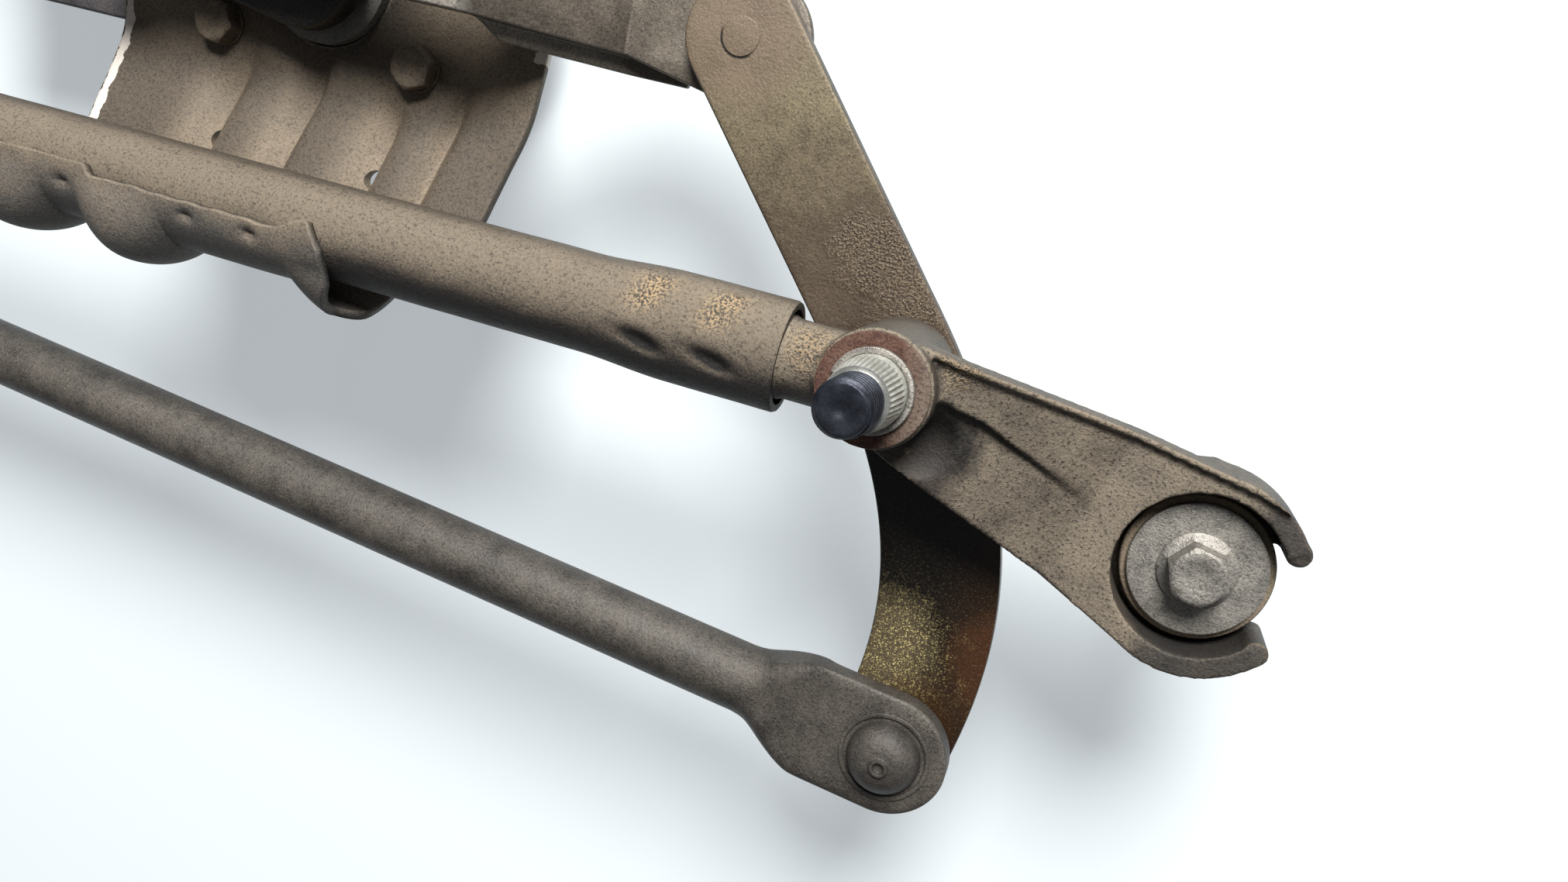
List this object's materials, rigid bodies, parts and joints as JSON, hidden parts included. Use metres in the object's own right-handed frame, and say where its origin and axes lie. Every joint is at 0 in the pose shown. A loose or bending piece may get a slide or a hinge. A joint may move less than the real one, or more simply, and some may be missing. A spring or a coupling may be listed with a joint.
{
  "type": "wiper linkage",
  "caption": "Windscreen wiper linkage: tube frame with cast spindle brackets, levers, ball-jointed tie rod, drive link, crank and gear motor.",
  "frame": {"origin": "on the right-hand spindle's axis at the foot of its thread", "axes": "+X along the frame tube towards the right-hand bracket, +Y from the tube towards the motor, +Z along the spindles towards the wiper arms"},
  "size_m": [0.6752, 0.1921, 0.0979],
  "materials": {
    "tube": "dusty satin",
    "casting": "rough cast",
    "plate": "dusty",
    "bronze": "plain",
    "rubber": "dusty",
    "zinc": "weathered zinc",
    "lever": "yellow zinc, oily",
    "steel": "bright",
    "rusty": "rusty",
    "clip": "dull",
    "rod": "satin",
    "cap": "dull",
    "socket": "matte",
    "link": "dusty",
    "crank": "greasy",
    "gear": "matte",
    "gearcase": "cast",
    "cover": "satin",
    "can": "satin",
    "magnet": "matte",
    "core": "laminated",
    "copper": "bright",
    "motorbolt": "greasy"
  },
  "bodies": {
    "frame": {"frame_tube": "tube", "right_bracket": "casting", "left_bracket": "casting", "motor_plate": "plate", "right_bush": "bronze", "left_bush": "bronze", "right_grommet": "rubber", "left_grommet": "rubber", "mount_sleeves": "zinc", "mount_washers": "zinc", "mount_bolts": "zinc", "output_bush": "bronze", "gear_housing": "gearcase", "gear_cover": "cover", "cover_screws": "zinc", "motor_can": "can", "can_bearing": "bronze", "motor_magnets": "magnet", "brush_plate": "socket", "carbon_brushes": "magnet", "motor_bolts": "motorbolt", "connector_socket": "socket"},
    "right_lever": {"right_lever": "lever", "right_spindle": "steel", "right_spindle_washer": "rusty", "right_spindle_clip": "clip", "drive_pin": "steel", "right_ball_stud": "steel"},
    "tie_rod": {"tie_rod": "rod", "right_rod_socket": "socket", "left_rod_socket": "socket", "right_rod_cap": "cap", "left_rod_cap": "cap"},
    "left_lever": {"left_lever": "lever", "left_spindle_shaft": "steel", "left_spindle_washer": "rusty", "left_spindle_clip": "clip", "left_ball_stud": "steel"},
    "drive_link": {"drive_link": "link", "link_bush": "socket", "crank_socket": "socket", "crank_ball_stud": "steel"},
    "crank": {"crank": "crank", "crank_nut": "zinc", "output_shaft": "steel", "worm_wheel": "gear"},
    "armature": {"armature_shaft": "steel", "armature_core": "core", "commutator": "copper"}
  },
  "joints": [
    {"name": "right_spindle_turn", "type": "hinge", "parent": "frame", "child": "right_lever", "pos_m": [0, 0, 0], "axis": [0, 0, 1], "range_deg": [-75, 0]},
    {"name": "left_spindle_turn", "type": "hinge", "parent": "frame", "child": "left_lever", "pos_m": [-0.51802, 0.04532, 0], "axis": [0, 0, 1], "range_deg": [-75.01, 0]},
    {"name": "tie_rod_swing", "type": "hinge", "parent": "right_lever", "child": "tie_rod", "pos_m": [0.017, -0.0745, 0], "axis": [0, 0, 1], "range_deg": [0, 75.01]},
    {"name": "drive_link_swing", "type": "hinge", "parent": "right_lever", "child": "drive_link", "pos_m": [-0.04618, 0.05446, 0], "axis": [0, 0, 1], "range_deg": [0, 78.07]},
    {"name": "crank_turn", "type": "hinge", "parent": "frame", "child": "crank", "pos_m": [-0.139, 0.05, 0], "axis": [0, 0, 1], "range_deg": [-170.49, 0]},
    {"name": "armature_turn", "type": "hinge", "parent": "frame", "child": "armature", "pos_m": [-0.139, 0.08, -0.063], "axis": [1, 0, 0], "range_deg": [-8523.74, 0]}
  ],
  "couplings": [
    {"joint": "left_spindle_turn", "follows": "right_spindle_turn", "ratio": 1},
    {"joint": "tie_rod_swing", "follows": "right_spindle_turn", "ratio": -1},
    {"joint": "drive_link_swing", "follows": "right_spindle_turn", "ratio": -1.0408},
    {"joint": "crank_turn", "follows": "right_spindle_turn", "ratio": 2.273},
    {"joint": "armature_turn", "follows": "right_spindle_turn", "ratio": 113.65}
  ]
}
